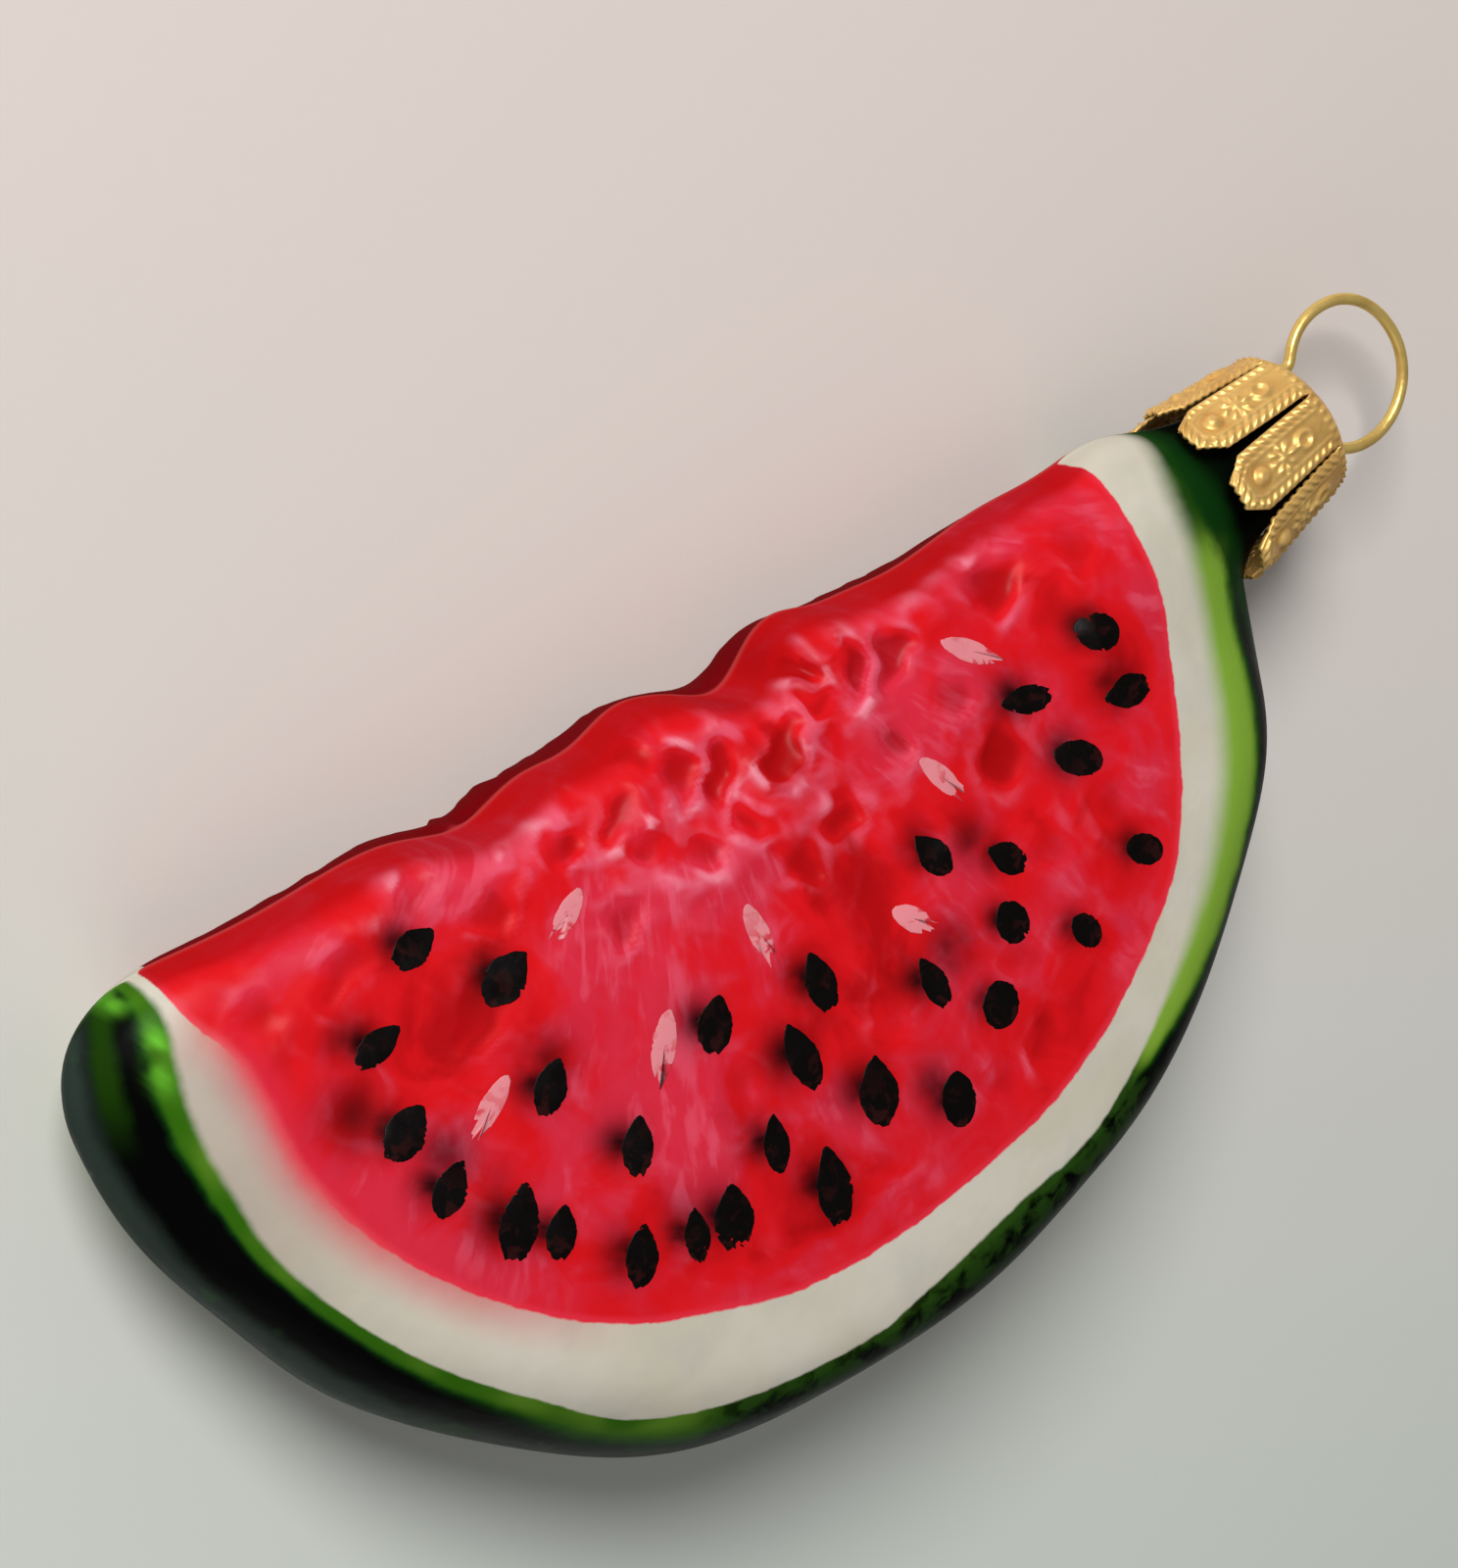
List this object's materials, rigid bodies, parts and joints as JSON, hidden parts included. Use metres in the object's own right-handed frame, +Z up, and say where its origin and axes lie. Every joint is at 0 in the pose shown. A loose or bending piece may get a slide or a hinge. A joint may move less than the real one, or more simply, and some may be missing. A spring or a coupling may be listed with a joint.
{
  "type": "blown glass hanging ornament",
  "caption": "Hollow painted glass ornament shaped as a watermelon wedge, with a stamped gold crown cap and a wire hanging ring.",
  "frame": {"origin": "middle of the bounding box's base, on the surface that the ornament lies on", "axes": "+X along the cut edge towards the cap and hanging ring, +Y from the rind towards the cut edge, +Z up, out of the painted front face"},
  "size_m": [0.126, 0.0572, 0.0274],
  "materials": {
    "painted_glass": "opaque hand-painted satin lacquer over silvered glass",
    "gold_cap": "stamped gold sheet, softly polished",
    "gold_wire": "drawn gold wire"
  },
  "bodies": {
    "root": {"glass_body": "painted_glass", "crown_cap": "gold_cap", "hanger_wire": "gold_wire"}
  },
  "joints": []
}
